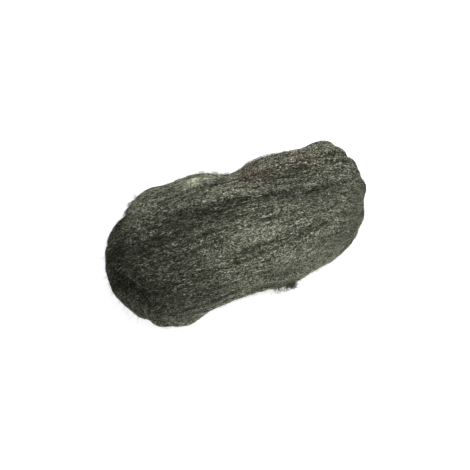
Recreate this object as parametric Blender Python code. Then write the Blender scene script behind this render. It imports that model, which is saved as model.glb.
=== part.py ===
"""A hank of steel wool: one long ribbon of wool, wound over itself into a flat bundle.

The ribbon runs along X and turns over at both ends. Its outer end lies free on the top, a little short
of the left fold, so the fold of the turn below shows past it. Its edges show as turns on the long sides.
The bundle rests on its flat underside, at Z = 0, with X = Y = 0 in the middle of its outline.
"""

import math

import bmesh
import bpy
from mathutils import Vector

# Sizes of the bundle, in metres
LENGTH = 0.217
WIDTH = 0.098
HEIGHT = 0.054
FLOOR_PRESS = 0.006  # what its weight has flattened off the rounded underside
FOLD_DEPTH = 0.036  # how far in from the tip a fold starts to curve down

# Powers of the rounded profiles: 2 is an ellipse, and more is boxier
SIDE_POWER = 2.5
FOLD_POWER = 2.3

# The corners, seen from above: how far each is drawn in from the tip of its end, and its power
RIGHT_REAR_CORNER = (0.020, 4.4)
RIGHT_FRONT_CORNER = (0.064, 2.0)
LEFT_REAR_CORNER = (0.036, 2.0)
LEFT_FRONT_CORNER = (0.048, 2.3)

# Sizes of the ribbon and of its free end
TURN_THICKNESS = 0.012
FREE_END_SETBACK = 0.017
FREE_END_SLANT = 0.49  # share of the setback that is added at the rear edge and taken off at the front one
TEAR_WAVES = ((0.066, 0.0022, 0.8), (0.026, 0.0013, 2.0))  # pitch, size and phase of its torn edge
SLIT_DEPTH = 0.012
SLIT_MOUTH = 0.26  # of a turn's thickness
SLIT_ROOT = 0.05
NOSE_REACH = 0.0025
NOSE_PROFILE = ((SLIT_MOUTH, 0.35), (0.5, 1.0), (0.8, 0.75))  # share of the thickness, share of the reach

# How the strands fan out: they cross the bundle slantwise, most of all behind its middle line
FAN_SLOPE = 0.115
FAN_BEND = 0.012  # further shift towards the front on the right half
FAN_BEND_LENGTH = 0.075
FAN_CENTRE = 0.017
FAN_REACH = 0.032
FAN_EDGE_POWER = 8  # the fan dies away towards both edges, the later the higher this is

# Strands of the ribbon: pitch across the bundle, height, wander along it and phase
STRANDS = (
    (0.0260, 0.0016, 0.17, 0.3),
    (0.0150, 0.0012, 0.23, 1.9),
    (0.0095, 0.0007, 0.31, 4.4),
)
STRAND_WAVE = 0.150  # length along X over which a strand wanders across and back
STRAND_ROUNDNESS = 1.1  # less than 1 makes the valleys sharper
STRAND_MEAN = 0.6  # share of its height that a strand stands above the mean surface

# The seams between the main strands: where each crosses the middle of the bundle, how deep and how wide
# it is, and the two places along X between which it runs. The first one is a broad valley, with the next
# two along its sides.
SEAMS = (
    (0.0058, 0.0026, 0.0065, -0.088, 0.080),
    (0.0102, 0.0030, 0.0024, -0.086, 0.150),
    (0.0010, 0.0024, 0.0022, -0.084, 0.002),
    (-0.0058, 0.0020, 0.0022, -0.024, 0.032),
    (-0.0045, 0.0022, 0.0024, 0.062, 0.104),
    (0.0196, 0.0018, 0.0022, -0.048, 0.016),
    (0.0262, 0.0034, 0.0026, -0.070, 0.012),
    (0.0302, 0.0034, 0.0026, 0.006, 0.080),
    (0.0375, 0.0030, 0.0028, 0.062, 0.150),
    (-0.0140, 0.0018, 0.0022, -0.004, 0.070),
    (-0.0215, 0.0024, 0.0026, -0.078, -0.012),
    (-0.0235, 0.0018, 0.0024, 0.020, 0.090),
    (-0.0330, 0.0024, 0.0028, -0.050, 0.060),
    (-0.0400, 0.0020, 0.0026, 0.010, 0.080),
)
SEAM_FADE = 0.014  # length over which a seam runs out

# The strand along the rear is raised above the rest, and rises and dips along its length. Each swell has
# a place along X, the flow line it is on, its size and its reach along X.
BAND_RISE = 0.0030
BAND_FRONT = 0.0110
BAND_EDGE = 0.0080
BAND_SWELLS = (
    (-0.070, 0.040, 0.0055, 0.018),
    (-0.024, 0.036, 0.0090, 0.030),
    (0.014, 0.036, -0.0040, 0.014),
    (0.042, 0.042, 0.0010, 0.018),
    (0.082, 0.042, -0.0025, 0.012),
    (0.108, 0.038, 0.0055, 0.014),
)
SWELL_REACH = 0.017  # across the bundle

# Places where a long side stands out or draws in: along X, size, reach and side, 1 at the rear
SIDE_SWELLS = (
    (0.036, 0.0060, 0.045, -1),
    (-0.064, 0.0045, 0.020, 1),
    (0.008, -0.0010, 0.020, 1),
)

# Places where an end stands out or draws in: across the bundle, size, reach and end, 1 at the right
END_SWELLS = (
    (-0.003, 0.0034, 0.017, -1),
    (-0.029, -0.0022, 0.009, -1),
)

# The turns' edges on the long sides, as rounded ridges one turn apart
TURN_EDGE_RELIEF = 0.0013
TURN_EDGE_ROUNDNESS = 0.7
TURN_EDGE_START = 0.35  # in turns below the top
TURN_EDGE_FADE = 0.4
TURN_EDGE_WANDER = 0.0022
TURN_EDGE_WAVE = 0.110

# The lowest turn bulges out past the others at the front left
LOW_TURN_BULGE = 0.0060
LOW_TURN_HEIGHT = 0.007
LOW_TURN_PLACE = -0.092
LOW_TURN_REACH = 0.024

# How finely the surface is divided
FLOW_LINES = 85
EDGE_ANGLE = math.radians(89)  # where the last flow line lies, round the side towards the edge at 90
TOP_STEPS = 30
FOLD_STEPS = 13
UNDERSIDE_STEPS = 14
SLIT_STEPS = 3
SMOOTH_ANGLE = math.radians(50)
MERGE_DISTANCE = 1e-6

# The wool as a mass: fine bare steel, dark greenish grey
WOOL_COLOR = (0.105, 0.110, 0.084, 1)
WOOL_METALLIC = 0.6
WOOL_ROUGHNESS = 0.55

HALF_LENGTH = LENGTH / 2
HALF_WIDTH = WIDTH / 2
HALF_HEIGHT = (HEIGHT + FLOOR_PRESS) / 2
MIDDLE_HEIGHT = HEIGHT - HALF_HEIGHT
STRAIGHT = HALF_LENGTH - FOLD_DEPTH


def rounded(share, power):
    """Height of a rounded profile, 1 at its middle and 0 at its edge, where share is 1."""
    return max(0.0, 1 - min(1.0, abs(share)) ** power) ** (1 / power)


def ease(value):
    """A smooth step from 0 to 1."""
    value = min(1.0, max(0.0, value))
    return value * value * (3 - 2 * value)


def swell(distance, reach):
    """A bell of height 1, which dies away over reach."""
    return math.exp(-((distance / reach) ** 2))


def line_at(round_angle):
    """Where the flow line that passes round_angle on its way over the bundle crosses the middle."""
    return HALF_WIDTH * math.copysign(abs(math.sin(round_angle)) ** (2 / SIDE_POWER), round_angle)


def fan(run, line):
    """Sideways shift of the flow line that crosses the middle of the bundle at line."""
    shift = FAN_SLOPE * run + FAN_BEND * ease(run / FAN_BEND_LENGTH)
    return -shift * swell(line - FAN_CENTRE, FAN_REACH) * (1 - (line / HALF_WIDTH) ** FAN_EDGE_POWER)


def plan_length(run, y):
    """Share of the full length at y, which shapes the ends and their corners as seen from above."""
    if run > 0:
        drawn_in, power = RIGHT_REAR_CORNER if y > 0 else RIGHT_FRONT_CORNER
    else:
        drawn_in, power = LEFT_REAR_CORNER if y > 0 else LEFT_FRONT_CORNER
    share = 1 - drawn_in / HALF_LENGTH * (1 - rounded(y / HALF_WIDTH, power))
    for place, size, reach, end in END_SWELLS:
        if end * run > 0:
            share += size / HALF_LENGTH * swell(y - place, reach)
    return share


def plan_width(run, y):
    """Share of the plain width on this side of the bundle, which shapes its long sides seen from above."""
    share = 1.0
    for place, size, reach, side in SIDE_SWELLS:
        if side * y > 0:
            share += size / HALF_WIDTH * swell(run - place, reach)
    return share


def left_fold_height(run):
    """Share of the full height at a place along the left fold, seen from the side."""
    return rounded(max(0.0, -run - STRAIGHT) / FOLD_DEPTH, FOLD_POWER)


def free_end(line):
    """Where the ribbon's free end lies along the bundle, with its torn edge."""
    setback = FREE_END_SETBACK * (1 + FREE_END_SLANT * line / HALF_WIDTH)
    for pitch, size, phase in TEAR_WAVES:
        setback += size * math.sin(2 * math.pi * line / pitch + phase)
    return setback - HALF_LENGTH


def evenly(first, last, steps):
    """Places from first up to, but without, last."""
    return [first + (last - first) * step / steps for step in range(steps)]


def flow_line_angles():
    """The angles of the flow lines, which lie about evenly over the top and round the sides."""
    shares = [*evenly(-1, 1, FLOW_LINES - 1), 1]
    return [math.copysign(EDGE_ANGLE * abs(share) ** (SIDE_POWER / 2), share) for share in shares]


def fold_stations(first, last, side, inner_above):
    """Stations round a fold, from one angle to another. Side is 1 for the right fold and -1 for the left."""
    stations = []
    for angle in [*evenly(first, last, FOLD_STEPS - 1), last]:
        across = abs(math.cos(angle)) ** (2 / FOLD_POWER)
        rise = math.copysign(abs(math.sin(angle)) ** (2 / FOLD_POWER), angle)
        layer = 0.0 if inner_above and rise > 0 else rise
        stations.append((side * (STRAIGHT + FOLD_DEPTH * across), rise, layer))
    return stations


def turn_section(line):
    """Stations round the wound ribbon: run along X, rise of the inner turn, and share of the outer turn on it.

    They go over the top from the free end, round the right fold, back underneath, round the left fold
    and in under the free end, so that the section is a coil with an open slit.
    """
    nose = free_end(line)
    root = nose + SLIT_DEPTH
    upright = math.pi / 2
    nose_reach = max(0.0, -nose - STRAIGHT) / FOLD_DEPTH
    under_nose = math.acos(nose_reach ** (FOLD_POWER / 2))
    stations = [(run, left_fold_height(run), 1.0) for run in evenly(nose, STRAIGHT, TOP_STEPS)]
    stations += fold_stations(upright, -upright, 1, False)
    stations += [(run, -1.0, -1.0) for run in evenly(STRAIGHT, -STRAIGHT, UNDERSIDE_STEPS)[1:]]
    stations += fold_stations(-upright, under_nose, -1, True)[:-1]
    stations += [(run, left_fold_height(run), 0.0) for run in evenly(nose, root, SLIT_STEPS)]
    for run in evenly(root, nose, SLIT_STEPS):
        opening = (root - run) / SLIT_DEPTH
        stations.append((run, left_fold_height(run), SLIT_ROOT + (SLIT_MOUTH - SLIT_ROOT) * opening))
    for layer, reach in NOSE_PROFILE:
        stations.append((nose - NOSE_REACH * reach, left_fold_height(nose), layer))
    return stations


def strand_relief(run, round_angle):
    """Rounded strands side by side, with narrower valleys between them."""
    height = 0.0
    for pitch, strand_height, wander, phase in STRANDS:
        place = round_angle * HALF_WIDTH / pitch + phase
        place += wander * math.sin(2 * math.pi * run / STRAND_WAVE + math.pi * phase)
        height += strand_height * (abs(math.sin(math.pi * place)) ** STRAND_ROUNDNESS - STRAND_MEAN)
    return height * math.sqrt(math.cos(round_angle))


def seam_relief(run, line):
    """Valleys between the main strands."""
    depth = 0.0
    for middle, seam_depth, half_width, start, end in SEAMS:
        there = ease((run - start) / SEAM_FADE) * ease((end - run) / SEAM_FADE)
        depth += seam_depth * there * swell(line - middle, half_width)
    return -depth


def band_relief(run, line):
    """The raised strand along the rear, with its swells and dips."""
    height = BAND_RISE * ease((line - BAND_FRONT) / BAND_EDGE + 0.5)
    for place, swell_line, size, reach in BAND_SWELLS:
        height += size * swell(run - place, reach) * swell(line - swell_line, SWELL_REACH)
    return height


def turn_edge_relief(run, line):
    """The edges of the turns on the long sides, where the flow line lies this deep below the top."""
    depth = HALF_HEIGHT * (1 - rounded(line / HALF_WIDTH, SIDE_POWER))
    turns = (depth + TURN_EDGE_WANDER * math.sin(2 * math.pi * run / TURN_EDGE_WAVE)) / TURN_THICKNESS
    on_side = ease((depth / TURN_THICKNESS - TURN_EDGE_START) / TURN_EDGE_FADE)
    return TURN_EDGE_RELIEF * on_side * (2 * abs(math.sin(math.pi * turns)) ** TURN_EDGE_ROUNDNESS - 1)


def low_turn_relief(run, y, z):
    """Push of the lowest turn outwards at the front left."""
    low = swell(z - LOW_TURN_HEIGHT, TURN_THICKNESS / 2)
    return LOW_TURN_BULGE * low * swell(run - LOW_TURN_PLACE, LOW_TURN_REACH) * ease(-y / HALF_WIDTH)


def outward(point):
    """Direction away from the flat core that the rounded sides and folds curve round."""
    core_width = max(0.0, HALF_WIDTH - HALF_HEIGHT)
    x = min(STRAIGHT, max(-STRAIGHT, point.x))
    y = min(core_width, max(-core_width, point.y))
    return (point - Vector((x, y, MIDDLE_HEIGHT))).normalized()


def surface_point(round_angle, station):
    """Place of a station on the flow line that passes round_angle."""
    run, rise, layer = station
    line = line_at(round_angle)
    y = line + fan(run, line)
    height_share = rounded(y / HALF_WIDTH, SIDE_POWER)
    turn = TURN_THICKNESS * height_share
    inner = HALF_HEIGHT * height_share - turn
    z = MIDDLE_HEIGHT + inner * rise + turn * layer
    point = Vector((run * plan_length(run, y), y * plan_width(run, y), z))

    above = ease((point.z - MIDDLE_HEIGHT) / HALF_HEIGHT + 0.5)
    relief = strand_relief(run, round_angle)
    relief += (seam_relief(run, line) + band_relief(run, line)) * above
    relief += turn_edge_relief(run, line)
    relief += low_turn_relief(run, y, point.z)
    point += outward(point) * relief
    point.z = max(0.0, point.z)
    return point


def close_side(skin, ring):
    """Closes a long side with short faces, from the under part of its last flow line to the part over it."""
    skin.faces.new(ring)
    tip = TOP_STEPS + FOLD_STEPS // 2
    for under in ring[tip + 1:tip + FOLD_STEPS // 2 + UNDERSIDE_STEPS]:
        if under.co.x > ring[0].co.x + SLIT_DEPTH:
            over = min(ring[:tip], key=lambda vert: abs(vert.co.x - under.co.x))
            face = next(face for face in under.link_faces if over in face.verts)
            bmesh.utils.face_split(face, under, over)
    left_over = [face for face in ring[0].link_faces if len(face.verts) > 4]
    bmesh.ops.triangulate(skin, faces=left_over, ngon_method="BEAUTY")


def wound_ribbon(name):
    """The whole bundle as one closed skin: a loft of coiled sections from the front edge to the rear one."""
    skin = bmesh.new()
    rings = []
    for round_angle in flow_line_angles():
        stations = turn_section(line_at(round_angle))
        rings.append([skin.verts.new(surface_point(round_angle, station)) for station in stations])
    around = len(rings[0])
    for ring, after in zip(rings, rings[1:]):
        for i in range(around):
            j = (i + 1) % around
            skin.faces.new((ring[i], after[i], after[j], ring[j]))
    close_side(skin, rings[0])
    close_side(skin, rings[-1])
    bmesh.ops.recalc_face_normals(skin, faces=skin.faces)
    mesh = bpy.data.meshes.new(name)
    skin.to_mesh(mesh)
    skin.free()
    return mesh


def press_flat(mesh):
    """Makes the flattened underside one plane face, and puts the middle of the outline at X = Y = 0."""
    skin = bmesh.new()
    skin.from_mesh(mesh)
    flat = [face for face in skin.faces if all(vert.co.z == 0 for vert in face.verts)]
    bmesh.ops.dissolve_faces(skin, faces=flat)
    bmesh.ops.dissolve_degenerate(skin, dist=MERGE_DISTANCE, edges=skin.edges)
    xs = [vert.co.x for vert in skin.verts]
    ys = [vert.co.y for vert in skin.verts]
    middle = Vector(((min(xs) + max(xs)) / 2, (min(ys) + max(ys)) / 2, 0))
    bmesh.ops.translate(skin, verts=skin.verts, vec=-middle)
    skin.to_mesh(mesh)
    skin.free()


def steel_wool_material():
    """One plain material for the whole bundle."""
    material = bpy.data.materials.new("steel_wool")
    material.use_nodes = True
    shader = material.node_tree.nodes["Principled BSDF"]
    shader.inputs["Base Color"].default_value = WOOL_COLOR
    shader.inputs["Metallic"].default_value = WOOL_METALLIC
    shader.inputs["Roughness"].default_value = WOOL_ROUGHNESS
    return material


def build_bundle():
    """Clears the scene and builds the one piece of the bundle in its own collection."""
    for obj in list(bpy.data.objects):
        bpy.data.objects.remove(obj)
    collection = bpy.data.collections.new("steel_wool_bundle")
    bpy.context.scene.collection.children.link(collection)
    mesh = wound_ribbon("wool_ribbon")
    press_flat(mesh)
    mesh.shade_smooth()
    mesh.set_sharp_from_angle(angle=SMOOTH_ANGLE)
    mesh.materials.append(steel_wool_material())
    collection.objects.link(bpy.data.objects.new("wool_ribbon", mesh))


build_bundle()
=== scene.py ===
import math

import bpy
import numpy as np
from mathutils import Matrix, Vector
from mathutils.bvhtree import BVHTree


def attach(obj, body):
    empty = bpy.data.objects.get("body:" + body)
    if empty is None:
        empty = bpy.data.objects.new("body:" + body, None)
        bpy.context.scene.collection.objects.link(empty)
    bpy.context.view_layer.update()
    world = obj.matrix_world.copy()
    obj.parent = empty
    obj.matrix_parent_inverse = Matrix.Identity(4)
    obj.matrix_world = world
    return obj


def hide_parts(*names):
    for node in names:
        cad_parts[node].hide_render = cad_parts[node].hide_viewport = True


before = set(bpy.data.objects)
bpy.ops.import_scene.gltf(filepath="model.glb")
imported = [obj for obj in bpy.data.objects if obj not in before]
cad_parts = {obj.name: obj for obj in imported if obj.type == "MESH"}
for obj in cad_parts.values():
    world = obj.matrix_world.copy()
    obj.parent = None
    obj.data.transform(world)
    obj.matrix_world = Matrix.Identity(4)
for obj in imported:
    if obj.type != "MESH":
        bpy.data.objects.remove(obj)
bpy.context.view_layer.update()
bpy.ops.object.select_all(action="DESELECT")
bpy.context.scene.view_settings.view_transform = "Standard"


# The imported wool. The real bundle is a ribbon of fine steel shavings, wound over itself by machine and
# pulled off. Under its loose outer fibres lies the imported mass, painted dark as the shade between them,
# with ridges and ragged furrows where strands of shavings have drawn together.
mass = bpy.data.objects.new("wool_mass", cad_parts["wool_ribbon"].data.copy())
bpy.context.scene.collection.objects.link(mass)
mass.select_set(True)
bpy.context.view_layer.objects.active = mass
bpy.ops.object.mode_set(mode="EDIT")
bpy.ops.mesh.select_all(action="SELECT")
bpy.ops.mesh.remove_doubles(threshold=1e-6)
bpy.ops.mesh.normals_make_consistent(inside=False)
bpy.ops.object.mode_set(mode="OBJECT")
felting = mass.modifiers.new("felting", "REMESH")
felting.mode = "VOXEL"
felting.voxel_size = 0.00125
bpy.ops.object.modifier_apply(modifier="felting")
settling = mass.modifiers.new("settling", "SMOOTH")
settling.factor = 0.5
settling.iterations = 3
bpy.ops.object.modifier_apply(modifier="settling")

HALF_LENGTH = 0.1085
HALF_WIDTH = 0.049
BUNDLE_MIDDLE = np.array([0.00163, 0.00229])  # from the bundle's origin back to the middle of the winding
MIXING_PRIMES = np.array([73856093, 19349663, 83492791])  # they turn a cell of the noise into its value


def step(value):
    """0 at 0 and below, 1 at 1 and above, and a smooth rise between."""
    value = np.clip(value, 0, 1)
    return value * value * (3 - 2 * value)


def swell(distance, reach):
    """1 in the middle, fading out over about twice the reach."""
    return np.exp(-((distance / reach) ** 2))


def wool_noise(places, grain, seed):
    """Smooth noise from -1 to 1 at places, with lumps of the three sizes in grain."""
    cells = places / np.array(grain)
    low = np.floor(cells).astype(np.int64)
    part = step(cells - low)
    total = np.zeros(len(places))
    for corner in np.ndindex(2, 2, 2):
        key = (low + np.array(corner)) @ MIXING_PRIMES + seed * 15485863
        key = (key ^ (key >> 13)) * 1274126177
        key = (key ^ (key >> 16)) & 0xFFFF
        total += (key / 32767.5 - 1) * np.prod(np.where(corner, part, 1 - part), axis=1)
    return total


def fan_shift(run, line):
    """How far the strand that crosses the middle of the bundle at line lies sideways of it here."""
    shift = 0.115 * run + 0.012 * step(run / 0.075)
    return -shift * swell(line - 0.017, 0.032) * (1 - np.clip(line / HALF_WIDTH, -1, 1) ** 8)


def end_share(x, y):
    """Share of the full length at y, which shapes the bundle's ends as seen from above."""
    drawn_in = np.where(x > 0, np.where(y > 0, 0.020, 0.064), np.where(y > 0, 0.036, 0.048))
    power = np.where(x > 0, np.where(y > 0, 4.4, 2.0), np.where(y > 0, 2.0, 2.3))
    rounded = (1 - np.minimum(1, np.abs(y) / HALF_WIDTH) ** power) ** (1 / power)
    left_end = 0.0034 * swell(y + 0.003, 0.017) - 0.0022 * swell(y + 0.029, 0.009)
    return 1 + (np.where(x > 0, 0, left_end) - drawn_in * (1 - rounded)) / HALF_LENGTH


def strand_places(places):
    """Where places lie in the winding: how far along, and on which strand across."""
    x = places[:, 0] + BUNDLE_MIDDLE[0]
    y = places[:, 1] + BUNDLE_MIDDLE[1]
    run = x / end_share(x, y)
    line = y.copy()
    for _ in range(12):
        line = (line + y - fan_shift(run, line)) / 2
    return run, line


def strand_noise(places, normals, pitch, length, seed):
    """Noise drawn out along the strands, both over the bundle and down its long sides."""
    run, line = strand_places(places)
    over = wool_noise(np.stack([run, line, places[:, 2]], 1), (length, pitch, length), seed)
    down = wool_noise(np.stack([run, places[:, 1], places[:, 2]], 1), (length, length, pitch), seed + 1)
    side = step((np.abs(normals[:, 1]) - 0.45) / 0.35)
    return over * (1 - side) + down * side


# The furrows between the main strands: half width and depth, then the run and line of the places that each
# passes, from left to right
FURROWS = (
    (0.0011, 0.0026, (
        (-0.080, -0.001), (-0.070, 0.008), (-0.055, 0.0095), (-0.034, 0.0106), (0.015, 0.0100),
    )),
    (0.0010, 0.0018, ((0.012, 0.0098), (0.026, 0.0099), (0.041, 0.0117), (0.054, 0.0121))),
    (0.0009, 0.0014, (
        (0.048, 0.0089), (0.066, 0.0092), (0.074, -0.0035), (0.088, -0.0051), (0.104, -0.006),
    )),
    (0.0008, 0.0010, ((0.060, 0.0100), (0.080, 0.0110), (0.096, 0.0118))),
    (0.0010, 0.0022, (
        (-0.076, -0.005), (-0.068, -0.0022), (-0.051, 0.0), (-0.038, 0.0010), (-0.004, 0.0013),
    )),
    (0.0008, 0.0011, ((-0.062, 0.0050), (-0.040, 0.0062), (-0.020, 0.0056), (0.010, 0.0050))),
    (0.0008, 0.0012, ((-0.018, -0.003), (-0.001, -0.006), (0.018, -0.0067), (0.036, -0.0072))),
    (0.0009, 0.0014, (
        (-0.068, 0.0292), (-0.051, 0.0239), (-0.031, 0.0242), (-0.022, 0.0273), (0.006, 0.0277),
    )),
    (0.0007, 0.0010, ((-0.042, 0.0174), (-0.025, 0.0186), (-0.007, 0.0198), (0.010, 0.0214))),
    (0.0009, 0.0015, ((0.008, 0.0304), (0.024, 0.0288), (0.039, 0.0297), (0.053, 0.0305), (0.072, 0.0334))),
    (0.0007, 0.0010, ((0.020, 0.0235), (0.050, 0.0250), (0.080, 0.0262))),
    (0.0009, 0.0012, ((0.062, 0.0370), (0.090, 0.0375), (0.120, 0.0380))),
    (0.0008, 0.0010, ((-0.072, -0.0245), (-0.044, -0.0201), (-0.015, -0.0200))),
    (0.0008, 0.0011, (
        (-0.048, -0.0330), (-0.013, -0.0335), (0.016, -0.0345), (0.048, -0.0355), (0.080, -0.035),
    )),
    (0.0007, 0.0005, ((0.004, -0.0140), (0.030, -0.0148), (0.066, -0.0135))),
    (0.0007, 0.0004, ((0.024, -0.0240), (0.060, -0.0228), (0.088, -0.0215))),
    (0.0007, 0.0008, ((-0.060, -0.0120), (-0.030, -0.0118), (-0.006, -0.0125))),
)


def furrow_depth(places, normals):
    """Depth of the ragged furrows at places, in metres."""
    run, line = strand_places(places)
    line = line + 0.0008 * wool_noise(np.stack([run, line, line], 1), (0.011, 0.02, 1.0), 71)
    broken = 0.70 + 0.6 * wool_noise(np.stack([run, line, line], 1), (0.008, 0.006, 1.0), 72)
    depth = np.zeros(len(run))
    for half_width, deep, passed in FURROWS:
        passed_run, passed_line = zip(*passed)
        there = step((run - passed_run[0]) / 0.008) * step((passed_run[-1] - run) / 0.008)
        depth += deep * there * broken * swell(line - np.interp(run, passed_run, passed_line), half_width)
    ragged = step((strand_noise(places, normals, 0.0013, 0.016, 73) - 0.42) / 0.40)
    ragged *= 1 - 0.7 * step((run - 0.010) / 0.035)
    return depth * step((normals[:, 2] + 0.1) / 0.4) + 0.0006 * ragged


def furrow_shade(places):
    """How far places lie in the shade along the front sides of the furrows, from 0 to 1."""
    run, line = strand_places(places)
    shade = np.zeros(len(run))
    for _, deep, passed in FURROWS:
        passed_run, passed_line = zip(*passed)
        there = step((run - passed_run[0]) / 0.012) * step((passed_run[-1] - run) / 0.012)
        shaded = swell(line - np.interp(run, passed_run, passed_line) + 0.0012, 0.0034)
        shade += deep / 0.0018 * there * shaded
    return np.minimum(1, shade)


# Where the bundle has a trace of rust, and how far each spot reaches
RUSTED = ((0.065, 0.027, 0.054), (0.024, 0.027, 0.052))
RUST_REACH = 0.014


def set_maps(made, places, tones):
    """Gives each point of a piece its place in the winding, its light or dark and its share of rust."""
    run, line = strand_places(places)
    strand_map = made.attributes.new("strand_place", "FLOAT_VECTOR", "POINT")
    strand_map.data.foreach_set("vector", np.stack([run, line, places[:, 2]], 1).ravel())
    tone_map = made.attributes.new("tone", "FLOAT", "POINT")
    tone_map.data.foreach_set("value", tones.astype(np.float32))
    rust = sum(swell(np.linalg.norm(places - np.array(spot), axis=1), RUST_REACH) for spot in RUSTED)
    rust_map = made.attributes.new("rust", "FLOAT", "POINT")
    rust_map.data.foreach_set("value", rust.astype(np.float32))


mesh = mass.data
skin = np.empty(len(mesh.vertices) * 3)
mesh.vertices.foreach_get("co", skin)
skin = skin.reshape(-1, 3)
skin_normals = np.empty(len(mesh.vertices) * 3)
mesh.vertex_normals.foreach_get("vector", skin_normals)
skin_normals = skin_normals.reshape(-1, 3)
ridges = 0.00040 * strand_noise(skin, skin_normals, 0.0034, 0.045, 11)
ridges += 0.00040 * strand_noise(skin, skin_normals, 0.0022, 0.026, 21)
ridges += 0.00015 * wool_noise(skin, (0.009, 0.006, 0.006), 31)
furrows = furrow_depth(skin, skin_normals)
off_the_table = step(skin[:, 2] / 0.003)
skin = skin + skin_normals * ((ridges - furrows - 0.0006) * off_the_table)[:, None]
skin[:, 2] = np.maximum(skin[:, 2], 0)
mesh.vertices.foreach_set("co", skin.ravel())
mesh.update()
mesh.shade_smooth()
# Painted shade: the mass's tone lies well below the fibres' as the shade deep in the tangle, and lower still
# in the furrows and along their front sides.
set_maps(mesh, skin, 0.55 * (1 - 0.3 * furrow_shade(skin)) / (1 + furrows / 0.0006))


# Finish of the shavings: bare steel, dull and a little greenish. Painted glints: each shaving is painted
# lighter and paler in short lengths along it, its surface wavers finely, and in two places there is a trace
# of rust.
steel_and_painted_glints = bpy.data.node_groups.new("shaving_steel_and_painted_glints", "ShaderNodeTree")
steel_and_painted_glints.interface.new_socket("Place", in_out="INPUT", socket_type="NodeSocketVector")
steel_and_painted_glints.interface.new_socket("Tone", in_out="INPUT", socket_type="NodeSocketFloat")
steel_and_painted_glints.interface.new_socket("Rust", in_out="INPUT", socket_type="NodeSocketFloat")
steel_and_painted_glints.interface.new_socket("Steel", in_out="INPUT", socket_type="NodeSocketColor")
steel_and_painted_glints.interface.new_socket("Glint", in_out="INPUT", socket_type="NodeSocketColor")
steel_and_painted_glints.interface.new_socket("Colour", in_out="OUTPUT", socket_type="NodeSocketColor")
steel_and_painted_glints.interface.new_socket("Roughness", in_out="OUTPUT", socket_type="NodeSocketFloat")
steel_and_painted_glints.interface.new_socket("Height", in_out="OUTPUT", socket_type="NodeSocketFloat")
given = steel_and_painted_glints.nodes.new("NodeGroupInput")
given_out = steel_and_painted_glints.nodes.new("NodeGroupOutput")
# Painted glints: cells drawn out along the strands, most of them dark and a few painted many times lighter
# and paler than the steel.
glints = steel_and_painted_glints.nodes.new("ShaderNodeTexVoronoi")
glints.inputs["Scale"].default_value = 1
steel_and_painted_glints.links.new(given.outputs["Place"], glints.inputs["Vector"])
glint_red = steel_and_painted_glints.nodes.new("ShaderNodeSeparateColor")
steel_and_painted_glints.links.new(glints.outputs["Color"], glint_red.inputs["Color"])
glint_share = steel_and_painted_glints.nodes.new("ShaderNodeMath")
glint_share.operation = "POWER"
glint_share.inputs[1].default_value = 6
steel_and_painted_glints.links.new(glint_red.outputs["Red"], glint_share.inputs[0])
glint_light = steel_and_painted_glints.nodes.new("ShaderNodeMapRange")
glint_light.inputs["To Min"].default_value = 0.12
glint_light.inputs["To Max"].default_value = 6.0
steel_and_painted_glints.links.new(glint_share.outputs["Value"], glint_light.inputs["Value"])
glinting = steel_and_painted_glints.nodes.new("ShaderNodeMath")
glinting.operation = "MULTIPLY"
steel_and_painted_glints.links.new(glint_light.outputs["Result"], glinting.inputs[0])
steel_and_painted_glints.links.new(given.outputs["Tone"], glinting.inputs[1])
shade = steel_and_painted_glints.nodes.new("ShaderNodeMath")
shade.operation = "MINIMUM"
shade.inputs[1].default_value = 4.6
steel_and_painted_glints.links.new(glinting.outputs["Value"], shade.inputs[0])
wavering = steel_and_painted_glints.nodes.new("ShaderNodeTexNoise")
wavering.inputs["Scale"].default_value = 1
wavering.inputs["Detail"].default_value = 3
steel_and_painted_glints.links.new(given.outputs["Place"], wavering.inputs["Vector"])
paled = steel_and_painted_glints.nodes.new("ShaderNodeMix")
paled.data_type = "RGBA"
steel_and_painted_glints.links.new(glint_share.outputs["Value"], paled.inputs["Factor"])
steel_and_painted_glints.links.new(given.outputs["Steel"], paled.inputs["A"])
steel_and_painted_glints.links.new(given.outputs["Glint"], paled.inputs["B"])
rusted = steel_and_painted_glints.nodes.new("ShaderNodeMix")
rusted.data_type = "RGBA"
rusted.blend_type = "MULTIPLY"
rusted.inputs["B"].default_value = (1.08, 0.91, 0.95, 1)
steel_and_painted_glints.links.new(given.outputs["Rust"], rusted.inputs["Factor"])
steel_and_painted_glints.links.new(paled.outputs["Result"], rusted.inputs["A"])
lit = steel_and_painted_glints.nodes.new("ShaderNodeVectorMath")
lit.operation = "SCALE"
steel_and_painted_glints.links.new(rusted.outputs["Result"], lit.inputs[0])
steel_and_painted_glints.links.new(shade.outputs["Value"], lit.inputs["Scale"])
steel_and_painted_glints.links.new(lit.outputs["Vector"], given_out.inputs["Colour"])
dull = steel_and_painted_glints.nodes.new("ShaderNodeMapRange")
dull.inputs["To Min"].default_value = 0.50
dull.inputs["To Max"].default_value = 0.34
steel_and_painted_glints.links.new(wavering.outputs["Fac"], dull.inputs["Value"])
steel_and_painted_glints.links.new(dull.outputs["Result"], given_out.inputs["Roughness"])
steel_and_painted_glints.links.new(wavering.outputs["Fac"], given_out.inputs["Height"])


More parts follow.
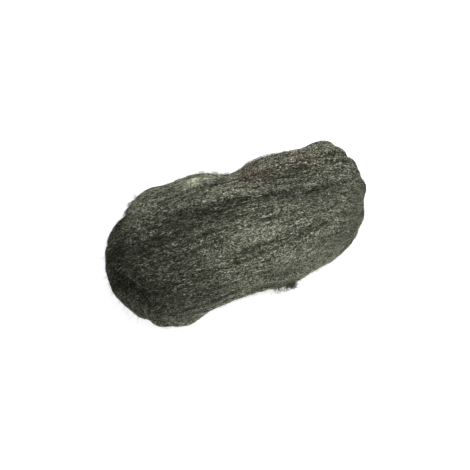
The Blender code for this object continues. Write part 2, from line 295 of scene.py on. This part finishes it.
def shaving_material(name, grain, bump_depth):
    """Bare steel shavings, whose painted glints are drawn out along the strands. Grain counts them per
    metre.
    """
    material = bpy.data.materials.new(name)
    material.use_nodes = True
    nodes = material.node_tree.nodes
    links = material.node_tree.links
    shader = nodes["Principled BSDF"]
    shader.inputs["Metallic"].default_value = 0.5
    shader.inputs["Specular Tint"].default_value = (0.62, 0.66, 0.34, 1)
    place = nodes.new("ShaderNodeAttribute")
    place.attribute_name = "strand_place"
    spread = nodes.new("ShaderNodeMapping")
    spread.inputs["Scale"].default_value = grain
    links.new(place.outputs["Vector"], spread.inputs["Vector"])
    tone = nodes.new("ShaderNodeAttribute")
    tone.attribute_name = "tone"
    rust = nodes.new("ShaderNodeAttribute")
    rust.attribute_name = "rust"
    look = nodes.new("ShaderNodeGroup")
    look.node_tree = steel_and_painted_glints
    look.inputs["Steel"].default_value = (0.195, 0.206, 0.150, 1)
    look.inputs["Glint"].default_value = (0.206, 0.209, 0.182, 1)
    links.new(spread.outputs["Vector"], look.inputs["Place"])
    links.new(tone.outputs["Fac"], look.inputs["Tone"])
    links.new(rust.outputs["Fac"], look.inputs["Rust"])
    links.new(look.outputs["Colour"], shader.inputs["Base Color"])
    links.new(look.outputs["Roughness"], shader.inputs["Roughness"])
    bump = nodes.new("ShaderNodeBump")
    bump.inputs["Distance"].default_value = bump_depth
    links.new(look.outputs["Height"], bump.inputs["Height"])
    links.new(bump.outputs["Normal"], shader.inputs["Normal"])
    return material


mass.data.materials.clear()
mass.data.materials.append(shaving_material("packed_shavings", (800, 2300, 2300), 0.0003))
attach(mass, "root")
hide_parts("wool_ribbon")


# The outer fibres: long steel shavings that lie along the strands, thousands of them over and under each
# other, held only by their own tangle. They are what is seen and felt of the bundle.
fibre_material = shaving_material("loose_shavings", (950, 2600, 2600), 0.00003)
surface = BVHTree.FromPolygons(skin.tolist(), [face.vertices[:] for face in mesh.polygons])
mesh.calc_loop_triangles()
triangles = np.empty(len(mesh.loop_triangles) * 3, np.int32)
mesh.loop_triangles.foreach_get("vertices", triangles)
triangles = triangles.reshape(-1, 3)
corners = skin[triangles]
triangle_sides = corners[:, 1:] - corners[:, :1]
triangle_areas = np.linalg.norm(np.cross(triangle_sides[:, 0], triangle_sides[:, 1]), axis=1)
face_starts = np.empty(len(mesh.polygons), np.int32)
mesh.polygons.foreach_get("loop_start", face_starts)
face_corners = np.empty(len(mesh.loops), np.int32)
mesh.loops.foreach_get("vertex_index", face_corners)
face_normals = (skin_normals[face_corners[face_starts]] + skin_normals[face_corners[face_starts + 2]]) / 2
face_normals /= np.linalg.norm(face_normals, axis=1)[:, None]
luck = np.random.default_rng(20)


def free_end_run(line):
    """How far along the ribbon's torn free end lies, on the strand at line."""
    setback = 0.017 * (1 + 0.49 * line / HALF_WIDTH)
    setback += 0.0022 * np.sin(math.tau * line / 0.066 + 0.8) + 0.0013 * np.sin(math.tau * line / 0.026 + 2)
    return setback - HALF_LENGTH


def strand_headings(places, normals):
    """Direction of the strands on the surface of the winding."""
    run, line = strand_places(places)
    reach = 0.001
    near = fan_shift(run + reach, line) - fan_shift(run - reach, line)
    across = np.stack([-near / (2 * reach), np.ones(len(run)), np.zeros(len(run))], 1)
    heading = np.cross(across, normals)
    heading *= np.where(heading[:, :1] < 0, -1, 1)
    side = np.abs(normals[:, 1]) ** 3
    heading[:, 0] += 0.8 * side
    heading -= normals * np.sum(heading * normals, 1)[:, None]
    return heading / np.maximum(1e-9, np.linalg.norm(heading, axis=1))[:, None]


def over_all(places, normals):
    """Share of fibres per area: the same all over, with fewer underneath."""
    return np.where(normals[:, 2] < -0.5, 0.3, 1.0)


def scattered(amount, share):
    """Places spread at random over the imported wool, share per area."""
    weights = triangle_areas * share(skin[triangles].mean(1), skin_normals[triangles[:, 0]])
    chosen = luck.choice(len(triangles), amount, p=weights / weights.sum())
    a, b = np.sort(luck.random((2, amount)), axis=0)
    return (
        corners[chosen, 0] * a[:, None]
        + corners[chosen, 1] * (b - a)[:, None]
        + corners[chosen, 2] * (1 - b)[:, None]
    )


def settled(places):
    """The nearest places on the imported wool, and its smooth normals there."""
    found = [surface.find_nearest(place) for place in places.tolist()]
    on_skin = np.array([hit[0] for hit in found])
    return on_skin, face_normals[np.array([hit[2] for hit in found])]


def laid(starts, lengths, points, turned, curl):
    """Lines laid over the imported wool, each turned by an angle from the strands and curling as it goes."""
    here, normals = settled(starts)
    away = np.where(luck.random(len(starts)) < 0.5, -1.0, 1.0)[:, None]
    heading = strand_headings(here, normals) * away
    lines = [here]
    ups = [normals]
    for _ in range(points - 1):
        wanted = strand_headings(here, normals)
        wanted *= np.where(np.sum(wanted * heading, 1) < 0, -1, 1)[:, None]
        aside = np.cross(normals, wanted)
        go = wanted * np.cos(turned)[:, None] + aside * np.sin(turned)[:, None]
        here, normals = settled(here + go * (lengths / (points - 1))[:, None])
        heading = wanted
        turned = turned + luck.normal(0, 1, len(starts)) * curl
        lines.append(here)
        ups.append(normals)
    return np.stack(lines, 1), np.stack(ups, 1)


BRIDGED_DEPTH = 0.0007  # the depth from which fibres no longer lie over a furrow
BRIDGING_SHARE = 0.07  # the few of them that still do


def clear_of_furrows(lines, ups):
    """Leaves out most of the fibres that would bridge a furrow."""
    part = np.array([0.0, 0.25, 0.5, 0.75])[None, None, :, None]
    between = lines[:, :-1, None] * (1 - part) + lines[:, 1:, None] * part
    facing = np.repeat(ups[:, :-1, None], 4, axis=2)
    depth = furrow_depth(between.reshape(-1, 3), facing.reshape(-1, 3)).reshape(len(lines), -1).max(1)
    kept = (depth < BRIDGED_DEPTH) | (luck.random(len(lines)) < BRIDGING_SHARE)
    return lines[kept], ups[kept]


def clump_tones_and_painted_shade(places, normals, even):
    """Light and dark by the clump and by the strand, less so where even is 1, and painted shade in streaks
    and furrows.
    """
    tones = np.exp((0.26 - 0.12 * even) * strand_noise(places, normals, 0.0026, 0.060, 43))
    tones *= np.exp(0.14 * strand_noise(places, normals, 0.0070, 0.075, 45))
    # Painted shade: dark streaks along the strands, where the gaps between them would lie in shade.
    drawn = step((strand_noise(places, normals, 0.0017, 0.090, 47) - 0.30) / 0.20)
    tones *= 1 - (0.66 - 0.34 * even) * drawn
    # Painted shade in the furrows and along their front sides.
    tones /= 1 + (furrow_depth(places, normals) / 0.0006) ** 1.4
    return tones * (1.28 - 0.19 * even) * (1 - 0.31 * furrow_shade(places))


def free_end_shade_and_light(run, line, over):
    """Painted shadow beyond the free end and shade where the wool is thin or open behind it; painted light
    on its lip.
    """
    past_end = run - free_end_run(line)
    thin = step((-0.026 - run) / 0.042) * step((0.013 - line) / 0.012)
    under_end = step(-past_end / 0.003) * step((line + 0.050) / 0.02)
    opened = step((run + 0.092) / 0.014) * step((0.030 - run) / 0.070) * swell(line + 0.0015, 0.0120)
    lip = swell(past_end - 0.005, 0.006) * step((line - 0.014) / 0.020)
    tip = swell(past_end - 0.003, 0.004) * swell(line + 0.001, 0.005)
    dark = (1 - 0.62 * thin * over) * (1 - 0.45 * under_end * over) * (1 - 0.54 * opened * over)
    return dark * (1 + (0.5 * lip + 0.2 * tip) * over)


# Patches of the upper side that lie lighter or darker, one a painted highlight and four painted shade by the
# furrows: by how much, then the run and the line of the middle, each with its reach
PATCHES = (
    # a painted highlight on the crest of the rear swell
    (7.00, -0.024, 0.009, 0.0358, 0.0034),  # the bright crest of the rear swell
    (0.50, 0.006, 0.022, -0.0295, 0.0034),  # a light strand in front of the middle
    # the next four: painted shade beside the furrows
    (-0.28, 0.012, 0.024, 0.0075, 0.005),  # in front of the longest furrow's right end
    (-0.20, 0.066, 0.020, -0.004, 0.008),  # by the furrow at the right
    (-0.32, 0.010, 0.018, -0.005, 0.007),  # by the furrow at the middle
    (-0.28, -0.064, 0.015, 0.010, 0.009),  # over the longest furrow's left end
    (-0.12, -0.024, 0.020, -0.046, 0.007),  # above the front edge, left of the middle
)


def patch_tones(run, line, over):
    """The patches, and the broader differences between the rear, the right and the rest."""
    tones = 1 - 0.14 * step((run - 0.015) / 0.02) * swell(line - 0.016, 0.014) * over
    tones *= 1 - 0.10 * step((run - 0.010) / 0.03) * step((0.032 - line) / 0.01) * over
    tones *= 1 + 0.24 * swell(run + 0.036, 0.034) * step((line - 0.022) / 0.008) * over
    for lighter, at_run, run_reach, at_line, line_reach in PATCHES:
        tones *= 1 + lighter * swell(run - at_run, run_reach) * swell(line - at_line, line_reach) * over
    return tones


def painted_edge_light(places, normals, run, line, even):
    """Painted light on the low turn, along the front edge, at the outermost rims and on the steep flanks."""
    height = places[:, 2]
    low_turn = swell(line + 0.049, 0.008) * step(-run / 0.05) * (1 - step((height - 0.028) / 0.012))
    front_edge = swell(line + 0.051, 0.0035) * step(run / 0.03)
    low_down = 1 - step((height - 0.014) / 0.016)
    left_front = swell(line + 0.028, 0.014) * step((-0.100 - run) / 0.008)
    right_rim = swell(run - 0.096, 0.008) * swell(line - 0.0125, 0.006)
    left_rim = step((-0.75 - normals[:, 0]) / 0.2)
    flank = step((0.50 - normals[:, 2]) / 0.5)
    tones = (1 + 0.8 * low_turn) * (1 + (0.4 + 0.9 * low_down) * front_edge) * (1 + 1.4 * left_front)
    return tones * (1 + 0.35 * right_rim) * (1 + 0.35 * left_rim) * (1 + (0.45 - 0.30 * even) * flank)


LIT_SHARE = 0.18  # fibres that stay light in dark places, where the others lie darker still
LIT, UNLIT = 0.1, 1.35  # the powers that make them so


def place_tones(lines, ups, spread):
    """Light and dark of the fibres along lines: by their places, and by spread from one to the next."""
    fibres, points = lines.shape[:2]
    places = lines.reshape(-1, 3)
    normals = ups.reshape(-1, 3)
    run, line = strand_places(places)
    even = step((run - 0.010) / 0.035)
    uneven = step((-0.020 - run) / 0.03)
    over = step((normals[:, 2] + 0.5) / 0.5) * step((places[:, 2] - 0.006) / 0.012)
    tones = clump_tones_and_painted_shade(places, normals, even) * free_end_shade_and_light(run, line, over)
    tones *= patch_tones(run, line, over) * painted_edge_light(places, normals, run, line, even)
    tones = tones.reshape(fibres, points)
    darkening = np.where(luck.random(fibres) < LIT_SHARE, LIT, UNLIT)[:, None]
    tones = tones ** np.where(tones < 1, darkening, 1)
    even = even.reshape(fibres, points)[:, 0]
    uneven = uneven.reshape(fibres, points)[:, 0]
    spread = spread * (1 - 0.5 * even + 0.9 * uneven)
    return tones * (np.exp(luck.normal(0, 1, fibres) * spread) * (1 - 0.17 * uneven))[:, None]


def unwrapped(fibres, points):
    """Where the fibres' faces lie on the flat bake map: each fibre in a cell, its ends in the margin."""
    columns = math.ceil(math.sqrt(fibres / 2))
    rows = math.ceil(fibres / columns)
    column, row = np.arange(fibres) % columns, np.arange(fibres) // columns
    u = (np.linspace(0.04, 0.96, points)[None, :] + column[:, None]) / columns
    v = (np.linspace(0.06, 0.94, 4)[None, :] + row[:, None]) / rows
    near, far = u[:, :-1, None], u[:, 1:, None]
    low, high = v[:, None, :-1], v[:, None, 1:]
    near, far, low, high = np.broadcast_arrays(near, far, low, high)
    walls = [np.stack(corner, 3) for corner in ((near, low), (near, high), (far, high), (far, low))]
    tip = np.array([[0.0, 0.0], [0.5, 0.0], [0.0, 0.5]]) * 0.03
    first = np.stack([column / columns, row / rows], 1)[:, None] + tip / [columns, rows]
    last = np.stack([(column + 0.965) / columns, row / rows], 1)[:, None] + tip / [columns, rows]
    return np.concatenate([np.stack(walls, 3).reshape(-1, 2), first.reshape(-1, 2), last.reshape(-1, 2)])


TIP_SHARE = 0.35  # a fibre's thickness at its ends, against its middle
TWIST = 0.8  # radians that it turns about itself from end to end


def spun(name, lines, ups, radius_range, tones):
    """One piece of closed three-sided fibres along lines, thinner at their ends."""
    fibres, points = lines.shape[:2]
    radii = luck.uniform(*radius_range, fibres)
    along = np.gradient(lines, axis=1)
    along /= np.maximum(1e-9, np.linalg.norm(along, axis=2))[:, :, None]
    ups = ups - along * np.sum(ups * along, 2)[:, :, None]
    ups /= np.maximum(1e-9, np.linalg.norm(ups, axis=2))[:, :, None]
    asides = np.cross(along, ups)
    taper = np.ones(points)
    taper[[0, -1]] = TIP_SHARE
    turn = luck.uniform(0, math.tau, fibres)[:, None] + np.linspace(0, 1, points) * TWIST
    rings = []
    for corner in range(3):
        angle = turn + corner * math.tau / 3
        out = ups * np.cos(angle)[:, :, None] + asides * np.sin(angle)[:, :, None]
        rings.append(lines + out * radii[:, None, None] * taper[:, None])
    verts = np.stack(rings, 2)
    verts[..., 2] = np.maximum(verts[..., 2], 0.00001)
    index = np.arange(fibres * points * 3).reshape(fibres, points, 3)
    after = np.roll(index, -1, axis=2)
    walls = np.stack([index[:, :-1], after[:, :-1], after[:, 1:], index[:, 1:]], 3).reshape(-1, 4)
    ends = np.concatenate([index[:, 0, ::-1], index[:, -1]])
    made = bpy.data.meshes.new(name)
    made.from_pydata(verts.reshape(-1, 3).tolist(), [], walls.tolist() + ends.tolist())
    made.shade_smooth()
    set_maps(made, verts.reshape(-1, 3), np.repeat(tones, 3, axis=1).ravel())
    made.uv_layers.new(name="OFBake").data.foreach_set("uv", unwrapped(fibres, points).ravel())
    made.materials.append(fibre_material)
    piece = bpy.data.objects.new(name, made)
    bpy.context.scene.collection.objects.link(piece)
    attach(piece, "root")
    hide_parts("wool_ribbon")


FIBRES_LAID = 6600  # for each of the four pieces, before those that would bridge a furrow are left out
FIBRE_POINTS = 5
FIBRE_LENGTHS = (0.011, 0.023)
FIBRE_RADII = (0.00010, 0.00017)
FIBRE_TURN = 9  # degrees that they turn away from the strands, more so on the right
FIBRE_CURL = 10  # degrees that they curl from one point to the next
for number in range(1, 5):
    starts = scattered(FIBRES_LAID, over_all)
    to_the_right = step((starts[:, 0] - 0.02) / 0.05)
    turned = np.radians(luck.normal(0, FIBRE_TURN, FIBRES_LAID)) * (1 + 0.8 * to_the_right)
    lengths = luck.uniform(*FIBRE_LENGTHS, FIBRES_LAID)
    lines, ups = laid(starts, lengths, FIBRE_POINTS, turned, math.radians(FIBRE_CURL))
    lines, ups = clear_of_furrows(lines, ups)
    fibres = len(lines)
    tufts = strand_noise(lines.reshape(-1, 3), ups.reshape(-1, 3), 0.0014, 0.022, 51)
    outer = np.minimum(2, np.abs(luck.normal(0, 1, fibres)))[:, None]
    lift = 0.00010 + 0.00038 * outer + 0.00030 * tufts.reshape(fibres, FIBRE_POINTS)
    loose = (luck.random(fibres) < 0.25) * luck.uniform(0.0004, 0.0014, fibres)
    lift[:, -1] += loose
    lift[:, -2] += loose * 0.4
    lines = lines + ups * lift[:, :, None]
    lines[..., 2] = np.maximum(lines[..., 2], 0.0002)
    # Painted shade by depth: fibres lifted further out lie lighter, those lying deeper darker.
    tones = place_tones(lines, ups, 0.26) * (0.52 + 0.48 * outer)
    spun(f"wool_fibres_{number}", lines, ups, FIBRE_RADII, tones)


# Fibres that have slipped across the strands where the wool was pulled and pressed, most of them behind
# the free end and on the far right, where the wool is more felted.
CROSSED_LAID = 3400
CROSSED_POINTS = 5
CROSSED_LENGTHS = (0.007, 0.016)
CROSSED_RADII = (0.00007, 0.00012)
HATCHED = (-0.062, -0.008)
FELTED = (0.070, 0.015)


def crossed_share(places, normals):
    """Share of crossed fibres per area."""
    hatched = swell(places[:, 0] - HATCHED[0], 0.026) * swell(places[:, 1] - HATCHED[1], 0.022)
    felted = swell(places[:, 0] - FELTED[0], 0.030) * swell(places[:, 1] - FELTED[1], 0.026)
    return (0.25 + 2.0 * hatched + 1.2 * felted) * np.where(normals[:, 2] < -0.5, 0.1, 1.0)


starts = scattered(CROSSED_LAID, crossed_share)
turned = np.radians(luck.uniform(16, 48, CROSSED_LAID)) * np.where(luck.random(CROSSED_LAID) < 0.6, 1, -1)
lengths = luck.uniform(*CROSSED_LENGTHS, CROSSED_LAID)
lines, ups = laid(starts, lengths, CROSSED_POINTS, turned, math.radians(14))
lines, ups = clear_of_furrows(lines, ups)
lift = luck.uniform(0.0004, 0.0011, len(lines))[:, None] * np.array([0.4, 0.9, 1.1, 1.0, 0.5])
lines = lines + ups * lift[:, :, None]
lines[..., 2] = np.maximum(lines[..., 2], 0.0002)
tones = place_tones(lines, ups, 0.5) * 1.15
spun("crossed_fibres", lines, ups, CROSSED_RADII, tones)


# Stray hairs: thin ends that have sprung out of the tangle and curl up off the surface, all round the
# bundle.
STRAY_HAIRS = 1100
STRAY_POINTS = 8
STRAY_LENGTHS = (0.004, 0.013)
STRAY_RADII = (0.00004, 0.00007)


def loose_headings(starts, normals, spread):
    """Directions that hairs leave in: either way along the strands, and by spread away from them."""
    either_way = np.where(luck.random(len(starts)) < 0.5, -1, 1)[:, None]
    return strand_headings(starts, normals) * either_way + luck.normal(0, spread, (len(starts), 3))


def sprung(starts, normals, headings, lengths, points, rise, curliness):
    """Loose lines that leave the wool at starts, curl as they go and rise off it."""
    amount = len(starts)
    curl = luck.normal(0, 1, (amount, 3))
    line = starts + normals * 0.0001
    lines = [line]
    for _ in range(points - 1):
        curl = curl + luck.normal(0, 0.5, (amount, 3))
        headings = headings + np.cross(curl, headings) * curliness
        headings /= np.linalg.norm(headings, axis=1)[:, None]
        inward = np.minimum(0, np.sum(headings * normals, 1))
        go = headings - normals * inward[:, None] + normals * rise[:, None]
        line = line + go * (lengths / (points - 1))[:, None]
        lines.append(line)
    lines = np.stack(lines, 1)
    lines[..., 2] = np.maximum(lines[..., 2], 0.0002)
    return lines, np.repeat(normals[:, None], points, axis=1)


def hair_tones(fibres, points, lightness):
    """Light or dark from one hair to the next, the same along each."""
    return np.exp(luck.normal(lightness, 0.4, (fibres, 1))) * np.ones(points)


starts, normals = settled(scattered(STRAY_HAIRS, over_all))
headings = loose_headings(starts, normals, 0.6)
rise = np.abs(luck.normal(0, 0.12, STRAY_HAIRS)) + 0.02
lengths = luck.uniform(*STRAY_LENGTHS, STRAY_HAIRS)
lines, ups = sprung(starts, normals, headings, lengths, STRAY_POINTS, rise, 0.35)
tones = hair_tones(STRAY_HAIRS, STRAY_POINTS, 0.1)
spun("stray_hairs", lines, ups, STRAY_RADII, tones)


# The torn free end of the ribbon: a fringe of fibre ends, lighter by the painted light along the lip, which
# reach out over the fold below and droop onto it.
FRINGE_FIBRES = 900
FRINGE_POINTS = 6
FRINGE_LENGTHS = (0.006, 0.014)
FRINGE_RADII = (0.00007, 0.00013)
FRINGE_HALF_WIDTH = 0.046
FRINGE_DROOP = np.array([0.0003, 0.0010, 0.0020])  # of the three outermost points
fringe_line = luck.uniform(-FRINGE_HALF_WIDTH, FRINGE_HALF_WIDTH, FRINGE_FIBRES)
fringe_run = free_end_run(fringe_line) + luck.uniform(0.001, 0.012, FRINGE_FIBRES)
fringe_y = fringe_line + fan_shift(fringe_run, fringe_line)
fringe_x = fringe_run * end_share(fringe_run, fringe_y)
dropped = [
    surface.ray_cast((x - BUNDLE_MIDDLE[0], y - BUNDLE_MIDDLE[1], 0.1), (0, 0, -1))
    for x, y in zip(fringe_x.tolist(), fringe_y.tolist())
]
dropped = [hit for hit in dropped if hit[0] is not None]
fibres = len(dropped)
starts = np.array([hit[0] for hit in dropped])
normals = face_normals[np.array([hit[2] for hit in dropped])]
headings = -strand_headings(starts, normals) + luck.normal(0, 0.30, (fibres, 3)) + 0.25 * normals
rise = luck.uniform(-0.04, 0.12, fibres)
lengths = luck.uniform(*FRINGE_LENGTHS, fibres)
lines, ups = sprung(starts, normals, headings, lengths, FRINGE_POINTS, rise, 0.16)
lines[:, 3:, 2] -= FRINGE_DROOP
tones = place_tones(lines, ups, 0.4)
spun("free_end_fringe", lines, ups, FRINGE_RADII, tones)


# A snagged tuft: curled hairs that something has pulled out of the front edge low down, most of them in
# one knot.
TUFT_HAIRS = 180
TUFT_POINTS = 9
TUFT_LENGTHS = (0.005, 0.013)
TUFT_RADII = (0.00009, 0.00014)
in_knot = luck.random(TUFT_HAIRS) < 0.6
knot_x = luck.normal(0.018, 0.002, TUFT_HAIRS)
along_front = np.where(in_knot, knot_x, luck.uniform(0.002, 0.020, TUFT_HAIRS))
before_edge = np.full(TUFT_HAIRS, -0.060)
low_height = np.full(TUFT_HAIRS, 0.0085)
starts, normals = settled(np.stack([along_front, before_edge, low_height], 1))
headings = np.array([0.4, -0.8, -0.30]) + luck.normal(0, 0.5, (TUFT_HAIRS, 3))
rise = luck.uniform(0.0, 0.35, TUFT_HAIRS)
lengths = luck.uniform(*TUFT_LENGTHS, TUFT_HAIRS)
lines, ups = sprung(starts, normals, headings, lengths, TUFT_POINTS, rise, 1.1)
tones = hair_tones(TUFT_HAIRS, TUFT_POINTS, -0.5)
spun("snagged_tuft", lines, ups, TUFT_RADII, tones)


# Looped hairs: fibres that stay tucked in at both ends and bow up off the rear top edge, most of them
# right of the middle.
LOOPED_HAIRS = 420
LOOPED_POINTS = 9
LOOPED_SPANS = (0.006, 0.020)
LOOPED_RADII = (0.00006, 0.00010)
gathered = luck.random(LOOPED_HAIRS) < 0.6
gathered_x = luck.normal(0.024, 0.018, LOOPED_HAIRS)
along_rear = np.where(gathered, gathered_x, luck.uniform(-0.080, 0.100, LOOPED_HAIRS))
rear_y = luck.uniform(0.040, 0.058, LOOPED_HAIRS)
above_wool = np.full(LOOPED_HAIRS, 0.060)
starts, normals = settled(np.stack([along_rear, rear_y, above_wool], 1))
spans = luck.uniform(*LOOPED_SPANS, LOOPED_HAIRS)
ends, _ = settled(starts + strand_headings(starts, normals) * spans[:, None])
share = np.linspace(0, 1, LOOPED_POINTS)[None, :, None]
bow = np.sin(math.pi * share) * luck.uniform(0.0008, 0.0042, LOOPED_HAIRS)[:, None, None]
lines = starts[:, None] * (1 - share) + ends[:, None] * share + normals[:, None] * bow
lines += np.sin(math.tau * share) * luck.normal(0, 0.0008, (LOOPED_HAIRS, 1, 3))
ups = np.repeat(normals[:, None], LOOPED_POINTS, axis=1)
tones = hair_tones(LOOPED_HAIRS, LOOPED_POINTS, 0.1)
spun("looped_hairs", lines, ups, LOOPED_RADII, tones)


# Fuzz: short curled hairs that stand out of the bundle's outer edges, so thick there that the edge fades
# into them, most of all low at the front and at the left end of the rear edge.
FUZZ_HAIRS = 1500
FUZZ_POINTS = 6
FUZZ_LENGTHS = (0.003, 0.007)
FUZZ_RADII = (0.00005, 0.00009)


def edge_share(places, normals):
    """Share of fuzz per area."""
    outward = step((1 - np.abs(normals[:, 2]) - 0.15) / 0.5)
    low_front = step((places[:, 0] + 0.03) / 0.05) * step((-0.02 - places[:, 1]) / 0.02)
    left_rear = swell(places[:, 0] + 0.066, 0.014) * swell(places[:, 1] - 0.044, 0.012)
    return outward * (0.35 + 1.6 * low_front + 2.4 * left_rear)


starts, normals = settled(scattered(FUZZ_HAIRS, edge_share))
headings = loose_headings(starts, normals, 0.7)
rise = luck.uniform(0.1, 0.55, FUZZ_HAIRS)
lengths = luck.uniform(*FUZZ_LENGTHS, FUZZ_HAIRS)
lines, ups = sprung(starts, normals, headings, lengths, FUZZ_POINTS, rise, 0.7)
tones = hair_tones(FUZZ_HAIRS, FUZZ_POINTS, 0.2)
spun("edge_fuzz", lines, ups, FUZZ_RADII, tones)


# The table that the bundle lies on, of white paper that glows a little to the camera, so that it stays
# white and still shows the bundle's shadow.
bpy.ops.mesh.primitive_plane_add(size=6, location=(0, 0, 0))
table = bpy.context.active_object
table.name = "table"
paper = bpy.data.materials.new("white_paper")
paper.use_nodes = True
paper_nodes = paper.node_tree.nodes
paper_shader = paper_nodes["Principled BSDF"]
paper_shader.inputs["Base Color"].default_value = (0.86, 0.86, 0.86, 1)
paper_shader.inputs["Roughness"].default_value = 0.9
paper_shader.inputs["Specular IOR Level"].default_value = 0.1
glow = paper_nodes.new("ShaderNodeEmission")
path = paper_nodes.new("ShaderNodeLightPath")
glow_share = paper_nodes.new("ShaderNodeMath")
glow_share.operation = "MULTIPLY"
glow_share.inputs[1].default_value = 0.86
paper.node_tree.links.new(path.outputs["Is Camera Ray"], glow_share.inputs[0])
paper.node_tree.links.new(glow_share.outputs["Value"], glow.inputs["Strength"])
both = paper_nodes.new("ShaderNodeAddShader")
paper.node_tree.links.new(paper_shader.outputs["BSDF"], both.inputs[0])
paper.node_tree.links.new(glow.outputs["Emission"], both.inputs[1])
paper.node_tree.links.new(both.outputs["Shader"], paper_nodes["Material Output"].inputs["Surface"])
table.data.materials.append(paper)


# The light tent round the table: white where it is seen or mirrored, and a weak light from all sides.
# One soft lamp above the right front gives the main light.
world = bpy.data.worlds.new("tent")
bpy.context.scene.world = world
world.use_nodes = True
tent_nodes = world.node_tree.nodes
tent = tent_nodes["Background"]
tent.inputs["Color"].default_value = (1, 1, 1, 1)
seen = tent_nodes.new("ShaderNodeLightPath")
seen_or_shone = tent_nodes.new("ShaderNodeMath")
seen_or_shone.operation = "MAXIMUM"
world.node_tree.links.new(seen.outputs["Is Camera Ray"], seen_or_shone.inputs[0])
world.node_tree.links.new(seen.outputs["Is Glossy Ray"], seen_or_shone.inputs[1])
seen_at_all = tent_nodes.new("ShaderNodeMath")
seen_at_all.operation = "MAXIMUM"
world.node_tree.links.new(seen_or_shone.outputs["Value"], seen_at_all.inputs[0])
world.node_tree.links.new(seen.outputs["Is Transmission Ray"], seen_at_all.inputs[1])
tent_light = tent_nodes.new("ShaderNodeMapRange")
tent_light.inputs["To Min"].default_value = 0.22
tent_light.inputs["To Max"].default_value = 1.0
world.node_tree.links.new(seen_at_all.outputs["Value"], tent_light.inputs["Value"])
world.node_tree.links.new(tent_light.outputs["Result"], tent.inputs["Strength"])

LAMP_DISTANCE = 0.8
key = bpy.data.lights.new("key", "AREA")
key.shape = "DISK"
key.size = 0.35
key.energy = 6.5
key_lamp = bpy.data.objects.new("key", key)
bpy.context.scene.collection.objects.link(key_lamp)
key_direction = Vector((0.40, -0.32, 0.86)).normalized()
key_lamp.location = key_direction * LAMP_DISTANCE
key_lamp.rotation_euler = key_direction.to_track_quat("Z", "Y").to_euler()


# The camera, which looks down at the bundle from its left front. It aims a little below the bundle's
# middle and to its left, so that the bundle lies in the picture where it does in the photograph.
AZIMUTH = math.radians(-26)
ELEVATION = math.radians(52)
CAMERA_DISTANCE = 0.730
AIM_HEIGHT = 0.029
back = Vector((
    math.sin(AZIMUTH) * math.cos(ELEVATION),
    -math.cos(AZIMUTH) * math.cos(ELEVATION),
    math.sin(ELEVATION),
))
right = Vector((math.cos(AZIMUTH), math.sin(AZIMUTH), 0))
above = back.cross(right)
camera = bpy.data.cameras.new("camera")
camera.lens = 70
camera.sensor_width = 36
camera_stand = bpy.data.objects.new("camera", camera)
bpy.context.scene.collection.objects.link(camera_stand)
aim = Vector((0, 0, AIM_HEIGHT)) - right * 0.0044 - above * 0.0067
camera_stand.location = aim + back * CAMERA_DISTANCE
camera_stand.rotation_euler = back.to_track_quat("Z", "Y").to_euler()
bpy.context.scene.camera = camera_stand
